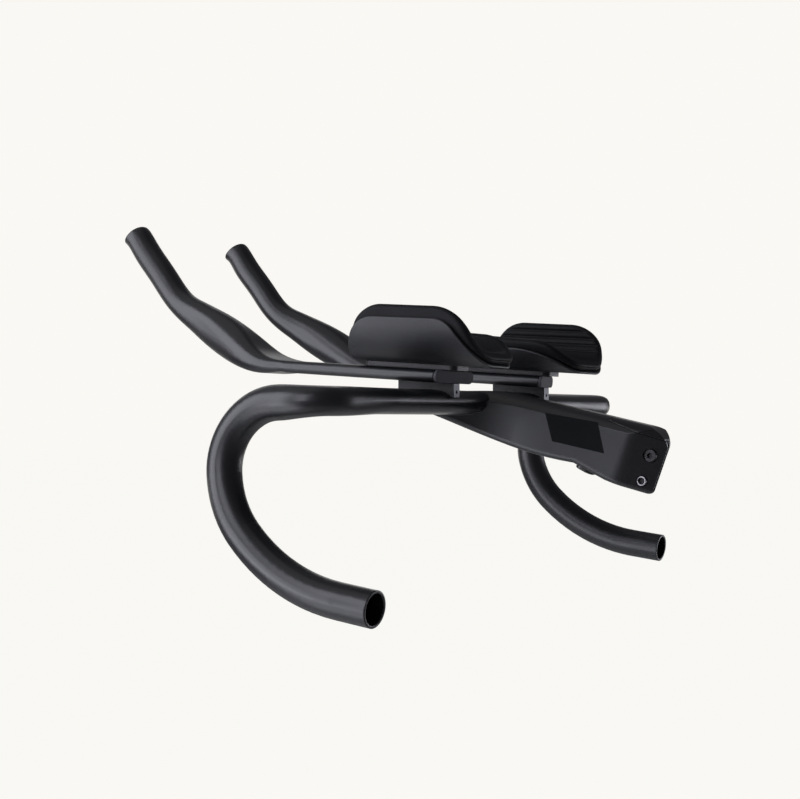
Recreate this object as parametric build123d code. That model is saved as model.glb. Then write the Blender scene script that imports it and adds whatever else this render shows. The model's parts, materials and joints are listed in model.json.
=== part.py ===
from build123d import *
import os
from math import asin, cos, radians, sin, tan

# Time-trial handlebar: a one-piece drop bar and stem with bolt-on arm rests and extensions.
# Millimetres. X is the rider's right, Y is forward, Z is up.
# The origin is the centre of the steerer clamp.

# Steerer clamp
steerer_r = 14.3
steerer_tilt = 20.0
clamp_height = 41.0
clamp_half_width = 19.0
clamp_slot = 2.0
tail_back = 21.5
tail_r = 6.5

# Pinch bolts through the tail, measured back from and along the steerer
pinch_back = 20.0
pinch_upper = 7.5
pinch_lower = -11.9
pinch_r = 2.5
pinch_clear = 0.2
pinch_face = 10.4
pinch_head_r = 4.4
pinch_head_height = 4.2
pinch_hex_r = 2.3
pinch_hex_depth = 2.6
pinch_end_sunk = 2.6
nut_r = 3.4
nut_length = 6.0

# Stem beam
stem_top_slope = 12.5
stem_top_back = 100.0
stem_top_blend = 90.0
stem_flare_start = 84.0
stem_flare_half_width = 58.0
stem_chin = 11.4
stem_arch = 36.0
stem_chin_rise = 12.0
stem_arch_mid = (80.0, 3.6)
stem_back_round = 17.0
crease_drop = 7.5
ridge_half_width = 5.0
shoulder_bow = 1.6
belly_round = 4.0

# Top cover
cover_front = 17.0
cover_gap = 0.3
cover_pocket_r = 12.5
cover_pocket_depth = 1.5

# Cable port under the stem
port_length = 15.0
port_width = 27.0
port_corner = 6.0
port_proud = 2.8
port_sunk = 1.6
port_fit = 0.1
port_at = 0.72
port_edge = 0.6
port_screw_r = 1.5
port_screw_head_r = 2.9
port_screw_head_height = 1.7
port_screw_hex_r = 1.0
port_screw_hex_depth = 1.2
port_screw_length = 8.0

# Handlebar tops
bar_y = 127.3
bar_z = 38.85
bar_chord = 47.0
bar_thickness = 18.4
bar_fullness = 0.775
bar_flat_half = 138.0

# Bends: the wing keeps its rear edge, narrows at the front and turns round
bend_r = 21.0
bend_chord = 34.0
bend_thickness = 19.8
bend_hold = 0.15

# Drops
grip_r = 11.9
grip_wall = 2.0
drop_half_width = 220.6
drop_flare = 6.8
hook_y = 150.6
hook_z = 37.2
hook_r = 41.3
palm_r = 69.6
palm_turn = 36.5
reach_r = 135.2
reach_turn = 37.7
drop_slope = 6.9
drop_straight = 27.0
mouth_edge = 0.5

# Extension rails
rail_x = 75.5
rail_back_y = 101.4
rail_back_z = 56.6
rail_slope = 4.1
rail_width = 40.0
rail_thickness = 9.4
rail_skew = 12.4
rail_front = 170.0
edge_fullness = 0.96

# Rising grip of each extension, with places measured along its centre line
rise_slope = 28.5
rise_length = 110.0
rise_bend_r = 90.0
tip_x = 66.6
tip_slope = 50.2
tip_length = 79.5
tip_bend_r = 65.0
tube_r = 11.1
tube_wall = 1.9
tip_bore_depth = 40.0
swell_start = 140.0
swell_at = 219.0
swell_end = 285.0
swell_thickness = 31.5
narrow_start = 168.0
narrow_end = 265.0
grip_stations = 12

# Rail end caps
cap_thickness = 2.6
cap_spigot = 7.0
cap_wall = 2.0
cap_fit = 0.15
cap_edge = 0.7

# Risers between bar and rails
riser_x = 73.75
riser_width = 8.7
riser_back = 101.2
riser_front = 148.3
riser_tab_bottom = 41.8
riser_screw_r = 1.25
riser_screw_length = 4.0
riser_screw_sunk = 0.6
riser_screw_z = 45.6
riser_screw_hex_r = 0.75
riser_screw_hex_depth = 1.2

# Arm cups, measured along the rail from its back end and up from its middle
cup_half_width = 44.0
cup_corner_r = 32.0
cup_wall = 2.5
cup_edge = 1.0
cup_lift = 3.5
cup_back_foot = -46.5
cup_front_foot = 81.0
cup_outer_top = 40.4
cup_outer_back = -13.3
cup_outer_back_r = 20.0
cup_outer_front = 60.1
cup_outer_front_r = 24.0
cup_inner_top = 25.0
cup_inner_back = -6.0
cup_inner_back_r = 80.0
cup_inner_front = 68.0
cup_inner_front_r = 20.0
base_back = -6.0
base_front = 72.0
base_width = 24.0
base_corner = 5.0

# Arm pads
pad_thickness = 8.5
pad_gap = 0.2
pad_edge = 3.4
pad_outer_back_foot = -44.3
pad_inner_back_foot = -57.6
pad_front_foot = 83.7
pad_outer_top = 50.5
pad_outer_back = -22.6
pad_outer_back_r = 34.0
pad_outer_front = 57.0
pad_outer_front_r = 25.0
pad_inner_top = 30.5
pad_inner_back = -13.4
pad_inner_back_r = 35.0
pad_inner_front = 64.0
pad_inner_front_top = 34.0
pad_inner_front_r = 25.0
groove_r = 1.2
groove_first = 43.0
groove_pitch = 5.5
groove_count = 4

# Bolts that hold cup, rail and riser to the bar
bolt_rear = 13.5
bolt_pitch = 24.0
bolt_r = 2.0
bolt_clear = 0.2
bolt_thread_fit = 0.05
bolt_head_r = 3.6
bolt_head_height = 2.4
bolt_hex_r = 1.45
bolt_hex_depth = 1.6
bolt_tail = 7.5
insert_r = 3.3
insert_length = 9.0
insert_sunk = 1.8
bolt_places = (bolt_rear, bolt_rear + bolt_pitch)

far = 120.0

# Working planes
tilt = radians(steerer_tilt)
steerer = Plane((0, 0, 0), x_dir=(1, 0, 0), z_dir=(0, -sin(tilt), cos(tilt)))
rail_rise = radians(rail_slope)
rail = Plane(
    (-rail_x, rail_back_y, rail_back_z),
    x_dir=(1, 0, 0),
    z_dir=(0, -sin(rail_rise), cos(rail_rise)),
)


def on_steerer(along, up):
    """Side-view point (Y, Z) from its distance forward of and up the steerer axis."""
    return (along * cos(tilt) - up * sin(tilt), along * sin(tilt) + up * cos(tilt))


def mix(start, end, share):
    return start + (end - start) * share


def ease(share):
    share = min(max(share, 0), 1)
    return share * share * (3 - 2 * share)


def pin(plane, radius, start, end):
    """Round pin on a plane's normal, between two heights."""
    return plane.offset(start) * extrude(Circle(radius), amount=end - start)


def hexagon(plane, radius, start, end):
    return plane.offset(start) * extrude(RegularPolygon(radius, 6), amount=end - start)


def mirrored(solid):
    return mirror(solid, Plane.YZ)


# Bar tops and drops

def aero_section(plane, chord, thickness, fullness):
    """Rounded wing section of four like curves that pass each corner at the given fullness."""
    a = chord / 2
    b = thickness / 2
    pull = (8 * fullness - 4) / 3
    quarter = [(a, 0), (a, b * pull), (a * pull, b), (0, b)]
    corners = [(1, 1), (-1, 1), (-1, -1), (1, -1)]
    curves = [Bezier(*[(x * across, y * up) for x, y in quarter]) for across, up in corners]
    return plane * make_face(curves)


def top_section(share):
    """Left wing section between the flat middle and the bend, its rear edge and top in line."""
    chord = mix(bar_chord, bend_chord, ease(share))
    thickness = mix(bar_thickness, bend_thickness, ease(share))
    x = -mix(bar_flat_half, drop_half_width - bend_r, share)
    y = bar_y - bar_chord / 2 + chord / 2
    z = bar_z + bar_thickness / 2 - thickness / 2
    return aero_section(Plane((x, y, z), x_dir=(0, 1, 0), z_dir=(-1, 0, 0)), chord, thickness, bar_fullness)


def bend_section(share):
    """Section part-way round the left bend: a wing at its start, round at its end."""
    turn = radians(90 * share)
    blend = ease((share - bend_hold) / (1 - bend_hold))
    rear_r = hook_y - bar_y + bar_chord / 2
    outer_r = mix(rear_r, bend_r + grip_r, blend)
    chord = mix(bend_chord, 2 * grip_r, blend)
    outward = Vector(-sin(turn), -cos(turn), 0)
    start_z = bar_z + bar_thickness / 2 - bend_thickness / 2
    middle = Vector(bend_r - drop_half_width, hook_y, mix(start_z, hook_z, blend))
    plane = Plane(
        middle + outward * (outer_r - chord / 2),
        x_dir=-outward,
        z_dir=(-cos(turn), sin(turn), 0),
    )
    thickness = mix(bend_thickness, 2 * grip_r, blend)
    return aero_section(plane, chord, thickness, mix(bar_fullness, sin(radians(45)), blend))


def bar_bend():
    """Left end of the tops with its bend, from the flat middle to the start of the hook."""
    tops = loft([top_section(step / 3) for step in range(4)])
    return tops + loft([bend_section(step / 6) for step in range(7)])


def bar_middle(bend):
    """Straight middle of the tops, carried on from the bend's inner end."""
    section = bend.faces().sort_by(Axis.X)[-1]
    return extrude(section, amount=2 * bar_flat_half, dir=(1, 0, 0))


def drop_path():
    """Left drop's centre line: hook, palm and reach in a plane that flares out, to the open end."""
    flare = radians(drop_flare)
    side = Plane((-drop_half_width, hook_y, hook_z), x_dir=(0, 1, 0), z_dir=(cos(flare), 0, -sin(flare)))
    hook_turn = 180 - drop_slope - reach_turn - palm_turn
    hook = JernArc((0, 0), (1, 0), hook_r, -hook_turn)
    palm = JernArc(hook @ 1, hook % 1, palm_r, -palm_turn)
    reach = JernArc(palm @ 1, palm % 1, reach_r, -reach_turn)
    end = Line(reach @ 1, reach @ 1 + (reach % 1) * drop_straight)
    return side.from_local_coords(Wire([hook, palm, reach, end]))


def drop_tube(bend):
    """Left drop, carried on from the bend's outer end."""
    path = drop_path()
    tube = sweep(bend.faces().sort_by(Axis.Y)[-1], path=path)
    return tube_mouth(tube, path, grip_r - grip_wall, drop_straight)


def tube_mouth(tube, path, radius, depth):
    """Open end of a tube: a straight bore from the path's end, with its rim rounded."""
    bored = tube - pin(Plane(path @ 1, z_dir=-(path % 1)), radius, 0, depth)
    mouth = bored.faces().sort_by_distance(path @ 1)[0]
    return fillet(mouth.edges(), mouth_edge)


# Stem

def stem_plan():
    """Outline seen along the steerer: a drop-shaped clamp, a straight beam and a flare at the bar."""
    front_along = (bar_y + bar_chord / 2) * cos(tilt) + bar_z * sin(tilt)
    lean = asin((clamp_half_width - tail_r) / tail_back)
    flank = Vector(cos(lean), -sin(lean))
    tail = Vector(0, -tail_back)
    flare = TangentArc(
        (clamp_half_width, stem_flare_start),
        (stem_flare_half_width, front_along),
        tangent=(0, 1),
    )
    side = Line((clamp_half_width, 0), flare @ 0)
    cheek = RadiusArc(side @ 0, flank * clamp_half_width, clamp_half_width)
    taper = Line(cheek @ 1, tail + flank * tail_r)
    back = RadiusArc(taper @ 1, tail - Vector(0, tail_r), tail_r)
    right = [flare, side, cheek, taper, back]
    left = [mirrored(edge) for edge in right]
    return make_face(right + left + [Line(flare @ 1, left[0] @ 1)])


def chin_line():
    """Flat under the beam that carries the cable port, from the clamp foot to the arch (Y, Z)."""
    foot = -clamp_height / 2
    chin = on_steerer((stem_chin + foot * sin(tilt)) / cos(tilt), foot)
    return Vector(*chin), Vector(stem_arch, chin[1] + stem_chin_rise)


def stem_side():
    """Side view of the stem, cover included: sloping top, round back, flat foot and arched belly."""
    top = bar_z + bar_thickness / 2
    slope = tan(radians(stem_top_slope))
    back = -(tail_back + tail_r) - 1
    back_y, back_z = on_steerer(back, 0)
    along = (top - (stem_top_back - back_y) * slope - back_z) / (cos(tilt) + sin(tilt) * slope)
    chin, arch = chin_line()
    upper = FilletPolyline(
        (bar_y, top),
        (stem_top_back, top),
        on_steerer(back, along),
        on_steerer(back, -clamp_height / 2),
        chin,
        radius=(stem_top_blend, stem_back_round, 0),
    )
    nose = (bar_y + bar_chord / 2 * bar_fullness, bar_z - bar_thickness / 2 * bar_fullness)
    belly = ThreePointArc(arch, stem_arch_mid, nose)
    close = Polyline(nose, (bar_y, bar_z), (bar_y, top))
    return Plane.YZ * make_face([*upper.edges(), Line(chin, arch), belly, *close.edges()])


def shoulder_tool():
    """What lies above the left shoulder, from the ridge on top down to the crease on the side."""
    slope = radians(stem_top_slope)
    along = Vector(0, cos(slope), sin(slope))
    start = Vector(0, stem_top_back, bar_z + bar_thickness / 2) + along * bar_chord
    ridge = Vector(-ridge_half_width, 0)
    crease = Vector(-clamp_half_width, -crease_drop)
    bow = SagittaArc(ridge, crease, -shoulder_bow)
    skirt = crease + (crease - ridge) * 3
    rest = Polyline(crease, skirt, (skirt.X, far), (ridge.X, far), ridge)
    section = Plane(start, x_dir=(1, 0, 0), z_dir=-along) * make_face([bow, *rest.edges()])
    return extrude(section, amount=2 * far)


def stem_form():
    """Whole stem with its cover, rounded along the underside."""
    body = extrude(steerer * stem_plan(), amount=far, both=True)
    body = body & extrude(stem_side(), amount=far, both=True)
    shoulder = shoulder_tool()
    body = body - shoulder - mirrored(shoulder)
    under = [face for face in body.faces() if face.normal_at(face.center()).Z < -0.5]
    rim = [edge for face in under for edge in face.edges() if abs(edge.center().X) > tail_r / 2]
    return fillet(rim, belly_round)


def cover_space(gap):
    """Room above the clamp seam and behind the cover's front edge."""
    length = cover_front - gap + far
    corner = steerer.from_local_coords(Vector(0, (cover_front - gap - far) / 2, clamp_height / 2 + gap))
    base = Plane(corner, x_dir=steerer.x_dir, z_dir=steerer.z_dir)
    return extrude(base * Rectangle(2 * far, length), amount=far)


def stem_top_cover(form):
    pocket = pin(steerer, cover_pocket_r, clamp_height / 2, clamp_height / 2 + cover_gap + cover_pocket_depth)
    return (form & cover_space(cover_gap)) - pocket


# Pinch bolts and barrel nuts

def pinch_plane(height, side):
    """Plane on a pinch bolt's axis, facing the head's side."""
    centre = steerer.from_local_coords(Vector(0, -pinch_back, height))
    return Plane(centre, x_dir=steerer.y_dir, z_dir=(side, 0, 0))


def pinch_bolt(height, side):
    plane = pinch_plane(height, side)
    seat = pinch_face - pinch_head_height
    head = pin(plane, pinch_head_r, seat, pinch_face)
    shank = pin(plane, pinch_r, pinch_end_sunk - pinch_face, seat)
    return head + shank - hexagon(plane, pinch_hex_r, pinch_face - pinch_hex_depth, pinch_face)


def pinch_nut(height, side):
    plane = pinch_plane(height, side)
    ring = pin(plane, nut_r, -pinch_face, nut_length - pinch_face)
    return ring - pin(plane, pinch_r, -pinch_face, nut_length - pinch_face)


def pinch_holes(height, side):
    plane = pinch_plane(height, side)
    seat = pinch_face - pinch_head_height
    head_room = pin(plane, pinch_head_r + pinch_clear, seat, far)
    nut_room = pin(plane, nut_r, -far, nut_length - pinch_face)
    return head_room + nut_room + pin(plane, pinch_r + pinch_clear, -pinch_face, seat)


# Cable port cover

def port_plane():
    """Plane on the chin, facing down and out, with x across and y along the stem."""
    chin, arch = chin_line()
    spot = chin + (arch - chin) * port_at
    run = (arch - chin).normalized()
    return Plane((0, spot.X, spot.Y), x_dir=(1, 0, 0), z_dir=(0, run.Y, -run.X))


def port_recess():
    plane = port_plane()
    outline = RectangleRounded(port_width + 2 * port_fit, port_length + 2 * port_fit, port_corner + port_fit)
    recess = plane.offset(-port_sunk) * extrude(outline, amount=far / 2)
    return recess + pin(plane, port_screw_r, port_proud - port_screw_length, 0)


def cable_port_cover():
    plane = port_plane()
    outline = RectangleRounded(port_width, port_length, port_corner)
    plate = extrude(outline, amount=port_sunk + port_proud)
    plate = fillet(plate.faces().sort_by(Axis.Z)[-1].edges(), port_edge)
    plate = plane.offset(-port_sunk) * plate
    return plate - screw_cone() - pin(plane, port_screw_r, -far, port_proud)


def screw_cone():
    cone = Cone(
        port_screw_r,
        port_screw_head_r,
        port_screw_head_height,
        align=(Align.CENTER, Align.CENTER, Align.MIN),
    )
    return port_plane().offset(port_proud - port_screw_head_height) * cone


def port_cover_screw():
    plane = port_plane()
    shank = pin(plane, port_screw_r, port_proud - port_screw_length, port_proud - port_screw_head_height)
    hexed = hexagon(plane, port_screw_hex_r, port_proud - port_screw_hex_depth, port_proud)
    return screw_cone() + shank - hexed


# Extensions

def extension_path():
    """Left extension's centre line: flat rail, rising grip and steep tip, joined by round bends."""
    rise = radians(rise_slope)
    steep = radians(tip_slope)
    back = rail.origin
    first = back + rail.y_dir * rail_front
    second = first + Vector(rail_x - tip_x, rise_length * cos(rise), rise_length * sin(rise))
    tip = second + Vector(0, cos(steep), sin(steep)) * tip_length
    legs = []
    start = back
    for before, corner, after, radius in (
        (back, first, second, rise_bend_r),
        (first, second, tip, tip_bend_r),
    ):
        into = (corner - before).normalized()
        out = (after - corner).normalized()
        cut = radius * tan(radians(into.get_angle(out)) / 2)
        leg = Line(start, corner - into * cut)
        bend = TangentArc(leg @ 1, corner + out * cut, tangent=into)
        legs += [leg, bend]
        start = bend @ 1
    return Wire(legs + [Line(start, tip)])


def rail_section(width, thickness):
    return RectangleRounded(width, thickness, edge_fullness * min(width, thickness) / 2)


def skew_plane(along):
    """Cut across the rail, turned so that its inner corner reaches further back."""
    skew = radians(rail_skew)
    facing = rail.x_dir * sin(skew) + rail.y_dir * cos(skew)
    return Plane(rail.origin + rail.y_dir * along, z_dir=facing)


def rail_length(width, thickness, back, front):
    """Stretch of rail from a skewed back end to a square front end."""
    start = Plane(rail.origin - rail.y_dir * rail_width, x_dir=rail.x_dir, z_dir=rail.y_dir)
    stretch = extrude(start * rail_section(width, thickness), amount=rail_width + front)
    return split(stretch, bisect_by=skew_plane(back), keep=Keep.TOP)


def grip_size(along):
    """Width and thickness of the extension at a distance along its centre line."""
    tube = 2 * tube_r
    rising = ease((along - swell_start) / (swell_at - swell_start))
    falling = ease((along - swell_at) / (swell_end - swell_at))
    thickness = mix(mix(rail_thickness, swell_thickness, rising), tube, falling)
    width = mix(rail_width, tube, ease((along - narrow_start) / (narrow_end - narrow_start)))
    return width, thickness


def rising_grip(path):
    """From the end of the flat rail through the swell to the round tip."""
    stations = []
    for step in range(grip_stations + 1):
        along = mix(swell_start, path.length, step / grip_stations)
        forward = path.tangent_at(along / path.length)
        across = rail.x_dir - forward * forward.dot(rail.x_dir)
        plane = Plane(path.position_at(along / path.length), x_dir=across, z_dir=forward)
        stations.append(plane * rail_section(*grip_size(along)))
    return loft(stations)


def bolt_plane(along):
    """Plane at a cup bolt on the rail's middle, facing up."""
    return Plane(
        rail.from_local_coords(Vector(rail_x - riser_x, along, 0)),
        x_dir=rail.x_dir,
        z_dir=rail.z_dir,
    )


def bolt_ways():
    """Clearance holes for both cup bolts."""
    return Compound([pin(bolt_plane(along), bolt_r + bolt_clear, -far / 2, far / 2) for along in bolt_places])


def spigot_bar(grow, length):
    width = rail_width - 2 * cap_wall + 2 * grow
    thickness = rail_thickness - 2 * cap_wall + 2 * grow
    stretch = rail_length(width, thickness, cap_thickness, far)
    return split(stretch, bisect_by=skew_plane(cap_thickness + length), keep=Keep.BOTTOM)


def extension():
    path = extension_path()
    body = rail_length(rail_width, rail_thickness, cap_thickness, swell_start) + rising_grip(path)
    body = tube_mouth(body, path, tube_r - tube_wall, tip_bore_depth)
    return body - spigot_bar(cap_fit, cap_spigot + cap_fit) - bolt_ways()


def extension_cap():
    body = rail_length(rail_width, rail_thickness, 0, far)
    body = split(body, bisect_by=skew_plane(cap_thickness), keep=Keep.BOTTOM)
    outer = body.faces().sort_by(Axis.Y)[0]
    return fillet(outer.edges(), cap_edge) + spigot_bar(0, cap_spigot)


# Risers

def riser(bar):
    """Blade from the bar's crest to the rail, with a tab down behind the bar."""
    under = rail.origin - rail.z_dir * rail_thickness / 2
    back_z = under.Z + (riser_back - under.Y) * tan(rail_rise)
    front_z = under.Z + (riser_front - under.Y) * tan(rail_rise)
    outline = Polyline(
        (riser_back, riser_tab_bottom),
        (riser_back, back_z),
        (riser_front, front_z),
        (riser_front, riser_tab_bottom),
        close=True,
    )
    start = Plane((-riser_x - riser_width / 2, 0, 0), x_dir=(0, 1, 0), z_dir=(1, 0, 0))
    blade = extrude(start * make_face(outline), amount=riser_width) - bar - bolt_ways()
    return blade - pin(riser_screw_plane(), riser_screw_r, -riser_screw_length - riser_screw_sunk, 0)


def riser_screw_plane():
    return Plane((-riser_x, riser_back, riser_screw_z), x_dir=(1, 0, 0), z_dir=(0, -1, 0))


def riser_screw():
    plane = riser_screw_plane()
    body = pin(plane, riser_screw_r, -riser_screw_length - riser_screw_sunk, -riser_screw_sunk)
    return body - hexagon(plane, riser_screw_hex_r, -riser_screw_hex_depth - riser_screw_sunk, -riser_screw_sunk)


# Arm cups and pads

cup_floor = rail_thickness / 2 + cup_lift


def rest_outline(across, back_foot, back, back_top, back_r, front, front_top, front_r, front_foot):
    """Side view of one wall of an arm rest, at a distance across from the rail's middle."""
    outline = FilletPolyline(
        (back_foot, 0),
        (back, back_top),
        (front, front_top),
        (front_foot, 0),
        radius=(back_r, front_r),
    )
    face = make_face([*outline.edges(), Line((front_foot, 0), (back_foot, 0))])
    return Plane(rail.from_local_coords(Vector(across, 0, 0)), x_dir=rail.y_dir, z_dir=rail.x_dir) * face


def trough(inset):
    """Round-bottomed space along the rail, inset from the cup's outer skin."""
    half = cup_half_width - inset
    floor = cup_floor + inset
    lip = cup_floor + far
    outline = FilletPolyline(
        (-half, lip),
        (-half, floor),
        (half, floor),
        (half, lip),
        radius=cup_corner_r - inset,
        close=False,
    )
    face = make_face([*outline.edges(), Line((half, lip), (-half, lip))])
    across = Plane(rail.origin, x_dir=rail.x_dir, z_dir=-rail.y_dir)
    return extrude(across * face, amount=far, both=True)


def arm_rest(inset, thickness, walls, edge_r):
    """Gutter round the forearm, trimmed evenly from its outer wall to its inner one, with round rims."""
    gutter = trough(inset) - trough(inset + thickness)
    gutter = gutter & loft(walls, ruled=True)
    cut_edges = gutter.faces().filter_by(GeomType.BSPLINE).edges()
    skin = [face for face in gutter.faces() if face.geom_type != GeomType.BSPLINE]
    rim = [edge for face in skin for edge in face.edges() if edge in cut_edges]
    return fillet(rim, edge_r)


def cup_base():
    """Block under the cup's floor that stands it on the rail."""
    middle = rail.from_local_coords(Vector(0, (base_back + base_front) / 2, rail_thickness / 2))
    outline = RectangleRounded(base_width, base_front - base_back, base_corner)
    return extrude(Plane(middle, x_dir=rail.x_dir, z_dir=rail.z_dir) * outline, amount=cup_lift + cup_wall / 2)


def head_rooms():
    seat = cup_floor + cup_wall - bolt_head_height
    return Compound([pin(bolt_plane(along), bolt_head_r + bolt_clear, seat, far) for along in bolt_places])


def arm_cup():
    outer = rest_outline(
        -cup_half_width,
        cup_back_foot,
        cup_outer_back,
        cup_outer_top,
        cup_outer_back_r,
        cup_outer_front,
        cup_outer_top,
        cup_outer_front_r,
        cup_front_foot,
    )
    inner = rest_outline(
        cup_half_width,
        cup_back_foot,
        cup_inner_back,
        cup_inner_top,
        cup_inner_back_r,
        cup_inner_front,
        cup_inner_top,
        cup_inner_front_r,
        cup_front_foot,
    )
    shell = arm_rest(0, cup_wall, [outer, inner], cup_edge)
    return shell + cup_base() - head_rooms() - bolt_ways()


def groove_spot(height):
    """Place on the pad's inner skin, up the outer wall or as far on round the corner under it."""
    corner = cup_floor + cup_corner_r
    skin_r = cup_corner_r - cup_wall - pad_gap - pad_thickness
    turn = max(0, corner - height) / skin_r
    across = cup_half_width - cup_corner_r + skin_r * cos(turn)
    return Vector(-across, 0, max(corner, height) - skin_r * sin(turn))


def arm_pad():
    outer = rest_outline(
        -cup_half_width,
        pad_outer_back_foot,
        pad_outer_back,
        pad_outer_top,
        pad_outer_back_r,
        pad_outer_front,
        pad_outer_top,
        pad_outer_front_r,
        pad_front_foot,
    )
    inner = rest_outline(
        cup_half_width,
        pad_inner_back_foot,
        pad_inner_back,
        pad_inner_top,
        pad_inner_back_r,
        pad_inner_front,
        pad_inner_front_top,
        pad_inner_front_r,
        pad_front_foot,
    )
    body = arm_rest(cup_wall + pad_gap, pad_thickness, [outer, inner], pad_edge)
    for count in range(groove_count):
        spot = rail.from_local_coords(groove_spot(groove_first - groove_pitch * count))
        body = body - pin(Plane(spot, z_dir=rail.y_dir), groove_r, -far, far)
    return body


# Cup bolts and threaded inserts

def insert_top(along):
    """Height of an insert's top on its bolt plane: a little below the bar's crest."""
    crest = bar_z + bar_thickness / 2 - insert_sunk
    return (crest - bolt_plane(along).origin.Z) / cos(rail_rise)


def cup_bolt(along):
    plane = bolt_plane(along)
    floor = cup_floor + cup_wall
    head = pin(plane, bolt_head_r, floor - bolt_head_height, floor)
    shank = pin(plane, bolt_r, insert_top(along) - bolt_tail, floor - bolt_head_height)
    return head + shank - hexagon(plane, bolt_hex_r, floor - bolt_hex_depth, floor)


def insert_body(along, radius):
    top = insert_top(along)
    return pin(bolt_plane(along), radius, top - insert_length, top)


def bar_insert(along):
    return insert_body(along, insert_r) - insert_body(along, bolt_r + bolt_thread_fit)


def insert_room(along):
    top = insert_top(along)
    return pin(bolt_plane(along), insert_r, top - insert_length, top + 2 * insert_sunk)


# One-piece bar and stem

def bar_stem(form, middle, bend):
    """Drop bar and stem in one, with the split clamp and the seats for what bolts on."""
    half = bend + drop_tube(bend)
    body = middle + half + mirrored(half) + (form - cover_space(0))
    for along in bolt_places:
        body = body - insert_room(along) - mirrored(insert_room(along))
    slot = steerer * Pos(0, -far / 2) * Rectangle(clamp_slot, far)
    body = body - pin(steerer, steerer_r, -far, far) - extrude(slot, amount=far, both=True)
    return body - pinch_holes(pinch_upper, -1) - pinch_holes(pinch_lower, 1) - port_recess()


# Assembly

form = stem_form()
bend = bar_bend()
middle = bar_middle(bend)
pieces = {
    "bar_stem": bar_stem(form, middle, bend),
    "stem_top_cover": stem_top_cover(form),
    "pinch_bolt_upper": pinch_bolt(pinch_upper, -1),
    "pinch_nut_upper": pinch_nut(pinch_upper, -1),
    "pinch_bolt_lower": pinch_bolt(pinch_lower, 1),
    "pinch_nut_lower": pinch_nut(pinch_lower, 1),
    "cable_port_cover": cable_port_cover(),
    "port_cover_screw": port_cover_screw(),
}
left_pieces = {
    "extension": extension(),
    "extension_cap": extension_cap(),
    "riser": riser(middle),
    "riser_screw": riser_screw(),
    "arm_cup": arm_cup(),
    "arm_pad": arm_pad(),
    "cup_bolt_rear": cup_bolt(bolt_places[0]),
    "cup_bolt_front": cup_bolt(bolt_places[1]),
    "bar_insert_rear": bar_insert(bolt_places[0]),
    "bar_insert_front": bar_insert(bolt_places[1]),
}
for name, solid in left_pieces.items():
    pieces[name + "_left"] = solid
    pieces[name + "_right"] = mirrored(solid)

os.makedirs("parts", exist_ok=True)
for name, solid in pieces.items():
    export_step(solid, f"parts/{name}.step")
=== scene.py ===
import json
from math import cos, radians, sin

import bmesh
import bpy
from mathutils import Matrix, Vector


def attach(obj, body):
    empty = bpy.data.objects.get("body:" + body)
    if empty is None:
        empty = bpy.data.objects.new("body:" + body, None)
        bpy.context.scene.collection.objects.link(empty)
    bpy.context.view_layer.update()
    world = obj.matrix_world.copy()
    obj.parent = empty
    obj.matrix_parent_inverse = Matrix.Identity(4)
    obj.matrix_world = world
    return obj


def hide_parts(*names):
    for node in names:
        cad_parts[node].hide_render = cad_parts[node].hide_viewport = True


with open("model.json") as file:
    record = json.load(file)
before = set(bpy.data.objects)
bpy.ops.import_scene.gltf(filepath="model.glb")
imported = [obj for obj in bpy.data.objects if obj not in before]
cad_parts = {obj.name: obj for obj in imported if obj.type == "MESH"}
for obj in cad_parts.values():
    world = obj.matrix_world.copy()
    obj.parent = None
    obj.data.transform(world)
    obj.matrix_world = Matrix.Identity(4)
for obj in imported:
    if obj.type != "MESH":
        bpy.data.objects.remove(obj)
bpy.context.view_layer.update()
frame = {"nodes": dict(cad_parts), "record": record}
nodes = frame["nodes"]
MM = 0.001

# The photograph's camera, in the frame of the steerer clamp
CAMERA_PLACE = (-0.93633, -0.39038, 0.02646)
CAMERA_YAW = 57.957
CAMERA_PITCH = 0.811
CAMERA_LENS = 61.74
SENSOR_WIDTH = 36.0
CAMERA_NEAR = 0.01

# Studio colours, and the pale sweep: its cone in degrees, and where the floor turns pale in metres
BACKDROP = (0.956, 0.939, 0.905, 1.0)
AMBIENT = (0.12, 0.12, 0.133, 1.0)
SWEEP_SIDE = (sin(radians(CAMERA_YAW)), cos(radians(CAMERA_YAW)), 0)
SWEEP_INNER = 12.0
SWEEP_OUTER = 22.0
SWEEP_START = 4.0
SWEEP_FULL = 7.0
FLOOR_Z = -1.3
FLOOR_SIZE = 80.0
FLOOR_COLOUR = (0.86, 0.86, 0.84, 1.0)
FLOOR_GLOW = 0.94
FLOOR_GLOW_COLOUR = (1.0, 0.99, 0.954, 1.0)
FLOOR_ROUGHNESS = 0.9
COOL_LIGHT = (0.9, 0.91, 1.0)
WHITE_LIGHT = (1.0, 1.0, 1.0)

# Arm rest section, along the rail: half width, corner, floor and the rail's place
REST_HALF = 44.0 * MM
REST_CORNER = 32.0 * MM
REST_FLOOR = 8.2 * MM
RAIL_X = 75.5 * MM
RAIL_BACK = Vector((0, 101.4, 56.6)) * MM
RAIL_SLOPE = radians(4.1)

# Pads
PAD_WELD = 0.01 * MM
PAD_VOXEL = 0.6 * MM
PAD_SOFTEN = 3
PAD_SOFTEN_SHARE = 0.5

# Pressed line in a pad, as shares of its thickness from the outside
PAD_OUTSIDE = 2.7 * MM
PAD_THICKNESS = 8.5 * MM
PAD_SEAM = 0.36
PAD_SEAM_HALF = 0.035
PAD_SEAM_DEPTH = 0.7 * MM

# Plain gloss field on the near side of the stem (Y, Z) and how far it stands off
FIELD_CORNERS = ((57.2, 31.0), (15.1, 24.0), (10.0, 1.5), (51.5, 10.0))
FIELD_SIDE = -19.0
FIELD_PROUD = 0.06

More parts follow.
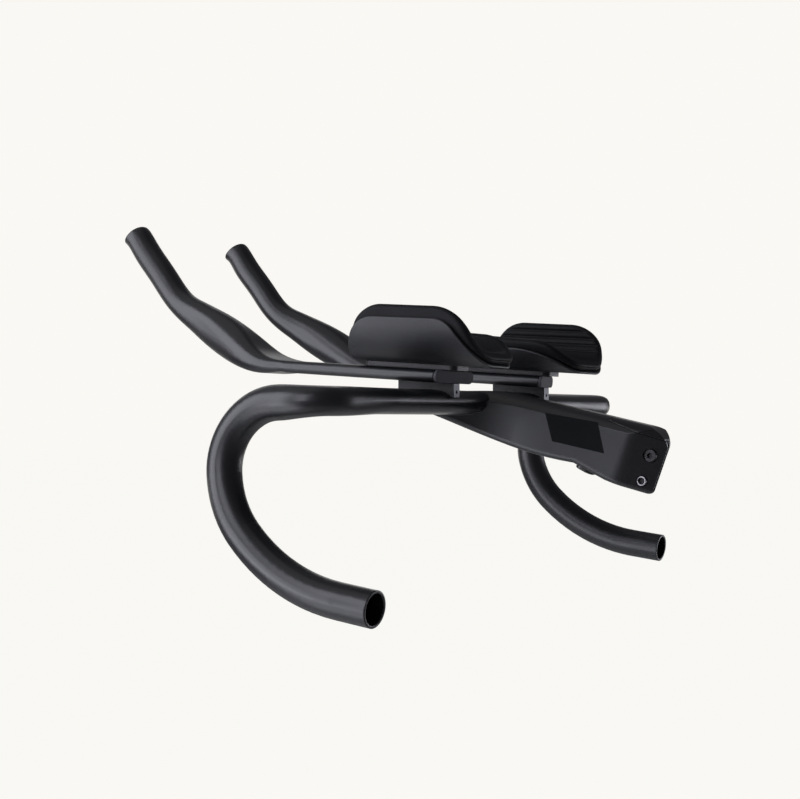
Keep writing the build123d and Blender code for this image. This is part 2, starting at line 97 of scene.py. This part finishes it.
# Finishes: the span of noise that is used, and the rear-facing faces of the risers that get a painted
# highlight, a brighter metal colour that stands in for the light they catch
NOISE_LOW = 0.3
NOISE_HIGH = 0.7
EDGE_SAMPLES = 6
PAINTED_HIGHLIGHT_START = -0.85
PAINTED_HIGHLIGHT_FULL = -0.95
PAINTED_HIGHLIGHT_ALLOY = (0.09, 0.09, 0.097, 1)


# Materials

def link_noise(tree, scale, detail, stretch=(1, 1, 1), roughness=0.5):
    """Noise in the object's own coordinates, stretched along its axes."""
    where = tree.nodes.new("ShaderNodeTexCoord")
    mapping = tree.nodes.new("ShaderNodeMapping")
    mapping.inputs["Scale"].default_value = stretch
    noise = tree.nodes.new("ShaderNodeTexNoise")
    noise.inputs["Scale"].default_value = scale
    noise.inputs["Detail"].default_value = detail
    noise.inputs["Roughness"].default_value = roughness
    tree.links.new(where.outputs["Object"], mapping.inputs["Vector"])
    tree.links.new(mapping.outputs["Vector"], noise.inputs["Vector"])
    return noise.outputs["Fac"]


def link_range(tree, value, low, high):
    """Value between two ends, from noise."""
    ranged = tree.nodes.new("ShaderNodeMapRange")
    ranged.inputs["From Min"].default_value = NOISE_LOW
    ranged.inputs["From Max"].default_value = NOISE_HIGH
    ranged.inputs["To Min"].default_value = low
    ranged.inputs["To Max"].default_value = high
    tree.links.new(value, ranged.inputs["Value"])
    return ranged.outputs["Result"]


def link_blend(tree, factor, first, second):
    """Colour between two colours."""
    blend = tree.nodes.new("ShaderNodeMix")
    blend.data_type = "RGBA"
    blend.inputs["A"].default_value = (*first, 1)
    blend.inputs["B"].default_value = (*second, 1)
    tree.links.new(factor, blend.inputs["Factor"])
    return blend.outputs["Result"]


def link_bump(tree, height, depth, under=None):
    """Normal of a relief, over another normal where there is one."""
    bump = tree.nodes.new("ShaderNodeBump")
    bump.inputs["Strength"].default_value = 1.0
    bump.inputs["Distance"].default_value = depth
    tree.links.new(height, bump.inputs["Height"])
    if under is not None:
        tree.links.new(under, bump.inputs["Normal"])
    return bump.outputs["Normal"]


def link_edge(tree, radius):
    """Normal that rounds the edges over a small radius, as paint and moulding do."""
    edge = tree.nodes.new("ShaderNodeBevel")
    edge.samples = EDGE_SAMPLES
    edge.inputs["Radius"].default_value = radius
    return edge.outputs["Normal"]


def surface(name, dark, light, rough, grain, depth, patch=40, stretch=(1, 1, 1), edge=0.0005, **sockets):
    """Finish with cloudy colour, uneven roughness, a fine grain and soft edges.

    The other sockets are set as they are given.
    """
    material = bpy.data.materials.new(name)
    material.use_nodes = True
    tree = material.node_tree
    shader = tree.nodes["Principled BSDF"]
    cloud = link_noise(tree, patch, 4, stretch)
    tree.links.new(link_blend(tree, cloud, dark, light), shader.inputs["Base Color"])
    tree.links.new(link_range(tree, cloud, *rough), shader.inputs["Roughness"])
    fine = link_noise(tree, grain, 3, stretch)
    tree.links.new(link_bump(tree, fine, depth, link_edge(tree, edge)), shader.inputs["Normal"])
    for socket, value in sockets.items():
        shader.inputs[socket.replace("_", " ")].default_value = value
    return material


def pad_surface():
    """Foam skin: fine cells, and a pressed line between the two layers at the rim."""
    material = surface(
        "pad_foam",
        (0.0055, 0.0056, 0.0065),
        (0.0082, 0.0084, 0.0095),
        (0.5, 0.58),
        grain=2600,
        depth=0.00005,
        patch=60,
        Specular_IOR_Level=0.12,
    )
    tree = material.node_tree
    shader = tree.nodes["Principled BSDF"]
    layer = tree.nodes.new("ShaderNodeAttribute")
    layer.attribute_name = "layer"
    ramp = tree.nodes.new("ShaderNodeValToRGB")
    ramp.color_ramp.elements[0].position = PAD_SEAM - 2 * PAD_SEAM_HALF
    ramp.color_ramp.elements[0].color = (1, 1, 1, 1)
    ramp.color_ramp.elements[1].position = PAD_SEAM + PAD_SEAM_HALF
    ramp.color_ramp.elements[1].color = (1, 1, 1, 1)
    ramp.color_ramp.elements.new(PAD_SEAM).color = (0, 0, 0, 1)
    tree.links.new(layer.outputs["Fac"], ramp.inputs["Fac"])
    grain = shader.inputs["Normal"].links[0].from_socket
    pressed = link_bump(tree, ramp.outputs["Color"], PAD_SEAM_DEPTH, grain)
    tree.links.new(pressed, shader.inputs["Normal"])
    return material


def riser_surface():
    """Black anodised alloy; faces turned to the rear get a brighter metallic colour, a painted highlight
    for the light the rear tab catches.
    """
    material = surface(
        "anodised_alloy",
        (0.006, 0.006, 0.007),
        (0.009, 0.009, 0.0105),
        (0.4, 0.48),
        grain=1500,
        depth=0.00004,
        patch=50,
        stretch=(1, 6, 1),
        Specular_IOR_Level=0.3,
    )
    tree = material.node_tree
    shader = tree.nodes["Principled BSDF"]
    where = tree.nodes.new("ShaderNodeTexCoord")
    split = tree.nodes.new("ShaderNodeSeparateXYZ")
    tree.links.new(where.outputs["Normal"], split.inputs["Vector"])
    # Painted highlight: faces that turn to the rear are mixed to a brighter, metallic colour, standing
    # in for the light the rear tab catches
    rear_highlight = tree.nodes.new("ShaderNodeMapRange")
    rear_highlight.inputs["From Min"].default_value = PAINTED_HIGHLIGHT_START
    rear_highlight.inputs["From Max"].default_value = PAINTED_HIGHLIGHT_FULL
    tree.links.new(split.outputs["Y"], rear_highlight.inputs["Value"])
    skin = shader.inputs["Base Color"].links[0].from_socket
    highlighted = tree.nodes.new("ShaderNodeMix")
    highlighted.data_type = "RGBA"
    highlighted.inputs["B"].default_value = PAINTED_HIGHLIGHT_ALLOY
    tree.links.new(skin, highlighted.inputs["A"])
    tree.links.new(rear_highlight.outputs["Result"], highlighted.inputs["Factor"])
    tree.links.new(highlighted.outputs["Result"], shader.inputs["Base Color"])
    tree.links.new(rear_highlight.outputs["Result"], shader.inputs["Metallic"])
    return material


carbon = surface(
    "satin_carbon",
    (0.0055, 0.0057, 0.0068),
    (0.0075, 0.0078, 0.0092),
    (0.3, 0.37),
    grain=900,
    depth=0.00002,
    patch=14,
    edge=0.0012,
    Specular_IOR_Level=0.5,
)
cover = surface(
    "gloss_cover",
    (0.003, 0.003, 0.0036),
    (0.0045, 0.0045, 0.0054),
    (0.26, 0.32),
    grain=1200,
    depth=0.00001,
    patch=20,
    edge=0.0008,
    Specular_IOR_Level=0.5,
)
field = surface(
    "gloss_field",
    (0.0025, 0.003, 0.0036),
    (0.0035, 0.004, 0.0048),
    (0.3, 0.36),
    grain=1500,
    depth=0.00001,
    patch=30,
    Specular_IOR_Level=0.06,
)
shell = surface(
    "cup_shell",
    (0.009, 0.0093, 0.0108),
    (0.012, 0.0123, 0.0142),
    (0.42, 0.5),
    grain=2200,
    depth=0.00005,
    patch=30,
    Specular_IOR_Level=0.45,
)
foam = pad_surface()
cap = surface(
    "matt_cap",
    (0.055, 0.056, 0.062),
    (0.066, 0.067, 0.074),
    (0.55, 0.65),
    grain=1800,
    depth=0.00008,
    patch=60,
    Specular_IOR_Level=0.25,
)
alloy = riser_surface()
black_steel = surface(
    "black_steel",
    (0.012, 0.012, 0.013),
    (0.022, 0.022, 0.024),
    (0.3, 0.4),
    grain=900,
    depth=0.000004,
    patch=200,
    Metallic=0.4,
)
steel = surface(
    "bright_steel",
    (0.3, 0.3, 0.31),
    (0.37, 0.37, 0.38),
    (0.28, 0.36),
    grain=900,
    depth=0.000004,
    patch=300,
    Metallic=1.0,
)

FINISHES = {
    "carbon": carbon,
    "cover": cover,
    "shell": shell,
    "foam": foam,
    "cap": cap,
    "alloy": alloy,
    "black_steel": black_steel,
    "steel": steel,
}


def dress_nodes():
    """Each carried node takes the finish of its slot in the record."""
    for part in frame["record"]["subparts"]:
        mesh = nodes[part["node"]].data
        mesh.materials.clear()
        mesh.materials.append(FINISHES[part["material_slot"]])


# Pieces

def add_piece(name, mesh, material):
    """New piece on the one body, with its finish."""
    mesh.materials.clear()
    mesh.materials.append(material)
    piece = bpy.data.objects.new(name, mesh)
    bpy.context.scene.collection.objects.link(piece)
    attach(piece, "root")
    return piece


def rest_depth(point):
    """How far a point lies inside the outer skin of its arm rest."""
    up = (point.z - RAIL_BACK.z) * cos(RAIL_SLOPE) - (point.y - RAIL_BACK.y) * sin(RAIL_SLOPE)
    across = abs(abs(point.x) - RAIL_X)
    flat = REST_HALF - REST_CORNER
    if across < flat:
        return up - REST_FLOOR
    if up > REST_FLOOR + REST_CORNER:
        return REST_HALF - across
    return REST_CORNER - Vector((across - flat, REST_FLOOR + REST_CORNER - up)).length


def arm_pad(side):
    """Foam pad: the solid remeshed finely and softened, with its layers marked for the seam."""
    node = f"arm_pad_{side}"
    form = bmesh.new()
    form.from_mesh(nodes[node].data)
    bmesh.ops.remove_doubles(form, verts=form.verts, dist=PAD_WELD)
    mesh = bpy.data.meshes.new(node + "_form")
    form.to_mesh(mesh)
    form.free()
    work = bpy.data.objects.new(node + "_form", mesh)
    bpy.context.scene.collection.objects.link(work)
    skin = work.modifiers.new("skin", "REMESH")
    skin.mode = "VOXEL"
    skin.voxel_size = PAD_VOXEL
    soften = work.modifiers.new("soften", "SMOOTH")
    soften.factor = PAD_SOFTEN_SHARE
    soften.iterations = PAD_SOFTEN
    shown = work.evaluated_get(bpy.context.evaluated_depsgraph_get())
    final = bpy.data.meshes.new_from_object(shown)
    bpy.data.objects.remove(work)
    bpy.data.meshes.remove(mesh)
    layer = final.attributes.new("layer", "FLOAT", "POINT")
    for vertex in final.vertices:
        layer.data[vertex.index].value = (rest_depth(vertex.co) - PAD_OUTSIDE) / PAD_THICKNESS
    final.polygons.foreach_set("use_smooth", [True] * len(final.polygons))
    pad = add_piece(f"pad_{side}", final, foam)
    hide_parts(node)
    return pad


def stem_field():
    """Plain darker field on the near side of the stem, a thin film with its edge let into the side."""
    form = bmesh.new()
    outer = [form.verts.new(Vector((FIELD_SIDE - FIELD_PROUD, y, z)) * MM) for y, z in FIELD_CORNERS]
    inner = [form.verts.new(Vector((FIELD_SIDE + FIELD_PROUD, y, z)) * MM) for y, z in FIELD_CORNERS]
    form.faces.new(outer)
    form.faces.new(reversed(inner))
    for here in range(len(outer)):
        after = (here + 1) % len(outer)
        form.faces.new((outer[after], outer[here], inner[here], inner[after]))
    bmesh.ops.recalc_face_normals(form, faces=form.faces)
    mesh = bpy.data.meshes.new("stem_field")
    form.to_mesh(mesh)
    form.free()
    return add_piece("stem_field", mesh, field)


# Studio

def link_math(tree, operation, first, second):
    math = tree.nodes.new("ShaderNodeMath")
    math.operation = operation
    tree.links.new(first, math.inputs[0])
    tree.links.new(second, math.inputs[1])
    return math.outputs["Value"]


def link_sweep(tree, where, start, full):
    """How far a place or a direction lies on the pale sweep beyond the object."""
    along = tree.nodes.new("ShaderNodeVectorMath")
    along.operation = "DOT_PRODUCT"
    along.inputs[1].default_value = SWEEP_SIDE
    tree.links.new(where, along.inputs[0])
    sweep = tree.nodes.new("ShaderNodeMapRange")
    sweep.inputs["From Min"].default_value = start
    sweep.inputs["From Max"].default_value = full
    tree.links.new(along.outputs["Value"], sweep.inputs["Value"])
    return sweep.outputs["Result"]


def shown_ray(tree, sweep):
    """One for rays that see the backdrop: from the camera, by glass, or by gloss on its side."""
    path = tree.nodes.new("ShaderNodeLightPath")
    gloss = link_math(tree, "MULTIPLY", path.outputs["Is Glossy Ray"], sweep)
    shown = link_math(tree, "MAXIMUM", path.outputs["Is Camera Ray"], gloss)
    return link_math(tree, "MAXIMUM", shown, path.outputs["Is Transmission Ray"])


def set_world():
    """A dim room with a pale sweep of paper that hangs beyond the object."""
    world = bpy.data.worlds.new("studio")
    bpy.context.scene.world = world
    world.use_nodes = True
    tree = world.node_tree
    light = tree.nodes["Background"]
    where = tree.nodes.new("ShaderNodeTexCoord").outputs["Generated"]
    sweep = link_sweep(tree, where, cos(radians(SWEEP_OUTER)), cos(radians(SWEEP_INNER)))
    blend = tree.nodes.new("ShaderNodeMix")
    blend.data_type = "RGBA"
    blend.inputs["A"].default_value = AMBIENT
    blend.inputs["B"].default_value = BACKDROP
    tree.links.new(shown_ray(tree, sweep), blend.inputs["Factor"])
    tree.links.new(blend.outputs["Result"], light.inputs["Color"])


def add_floor():
    """Plain pale floor that keeps shadows, and looks as pale as the backdrop."""
    material = bpy.data.materials.new("pale_floor")
    material.use_nodes = True
    tree = material.node_tree
    shader = tree.nodes["Principled BSDF"]
    shader.inputs["Base Color"].default_value = FLOOR_COLOUR
    shader.inputs["Roughness"].default_value = FLOOR_ROUGHNESS
    shader.inputs["Specular IOR Level"].default_value = 0.0
    glow = tree.nodes.new("ShaderNodeEmission")
    glow.inputs["Color"].default_value = FLOOR_GLOW_COLOUR
    share = tree.nodes.new("ShaderNodeMath")
    share.operation = "MULTIPLY"
    share.inputs[1].default_value = FLOOR_GLOW
    where = tree.nodes.new("ShaderNodeNewGeometry").outputs["Position"]
    sweep = link_sweep(tree, where, SWEEP_START, SWEEP_FULL)
    tree.links.new(shown_ray(tree, sweep), share.inputs[0])
    mixed = tree.nodes.new("ShaderNodeMixShader")
    tree.links.new(share.outputs["Value"], mixed.inputs["Fac"])
    tree.links.new(shader.outputs["BSDF"], mixed.inputs[1])
    tree.links.new(glow.outputs["Emission"], mixed.inputs[2])
    tree.links.new(mixed.outputs["Shader"], tree.nodes["Material Output"].inputs["Surface"])
    mesh = bpy.data.meshes.new("floor")
    half = FLOOR_SIZE / 2
    turns = ((-half, -half), (half, -half), (half, half), (-half, half))
    mesh.from_pydata([(x, y, FLOOR_Z) for x, y in turns], [], [range(len(turns))])
    mesh.materials.append(material)
    floor = bpy.data.objects.new("floor", mesh)
    bpy.context.scene.collection.objects.link(floor)


def add_softbox(name, place, target, width, height, power, colour):
    """Rectangular light that faces its target and is not seen itself."""
    lamp = bpy.data.lights.new(name, "AREA")
    lamp.shape = "RECTANGLE"
    lamp.size = width
    lamp.size_y = height
    lamp.energy = power
    lamp.color = colour
    box = bpy.data.objects.new(name, lamp)
    box.visible_camera = False
    box.location = place
    box.rotation_euler = (Vector(target) - Vector(place)).to_track_quat("-Z", "Y").to_euler()
    bpy.context.scene.collection.objects.link(box)


def add_lights():
    """Softboxes, placed by what the tubes mirror in the photograph."""
    add_softbox(
        "key_box",
        place=(-1.42, 1.61, 0.5),
        target=(-0.1, 0.15, 0),
        width=1.4,
        height=2.3,
        power=42,
        colour=COOL_LIGHT,
    )
    add_softbox(
        "low_left_box",
        place=(-1.17, 0.74, -0.6),
        target=(-0.2, 0.05, -0.12),
        width=1.0,
        height=0.9,
        power=7,
        colour=COOL_LIGHT,
    )
    add_softbox(
        "left_box",
        place=(-1.6, 0.2, 0.6),
        target=(-0.2, 0.12, -0.1),
        width=0.7,
        height=1.1,
        power=9,
        colour=COOL_LIGHT,
    )
    add_softbox(
        "right_box",
        place=(1.62, -0.88, -0.1),
        target=(-0.1, 0.1, 0.03),
        width=0.8,
        height=0.8,
        power=7,
        colour=COOL_LIGHT,
    )
    add_softbox(
        "top_box",
        place=(-0.35, 0.55, 1.5),
        target=(0, 0.12, 0),
        width=1.5,
        height=1.2,
        power=2,
        colour=WHITE_LIGHT,
    )
    add_softbox(
        "far_box",
        place=(1.25, 1.7, 0.75),
        target=(0, 0.1, 0),
        width=1.6,
        height=1.6,
        power=6,
        colour=WHITE_LIGHT,
    )


def add_camera():
    camera = bpy.data.cameras.new("camera")
    camera.lens = CAMERA_LENS
    camera.sensor_width = SENSOR_WIDTH
    camera.sensor_fit = "HORIZONTAL"
    camera.clip_start = CAMERA_NEAR
    holder = bpy.data.objects.new("camera", camera)
    holder.location = CAMERA_PLACE
    holder.rotation_euler = (radians(90 + CAMERA_PITCH), 0, radians(-CAMERA_YAW))
    bpy.context.scene.collection.objects.link(holder)
    bpy.context.scene.camera = holder


dress_nodes()
for side in ("left", "right"):
    arm_pad(side)
stem_field()
set_world()
add_floor()
add_lights()
add_camera()
bpy.context.scene.view_settings.view_transform = "Standard"
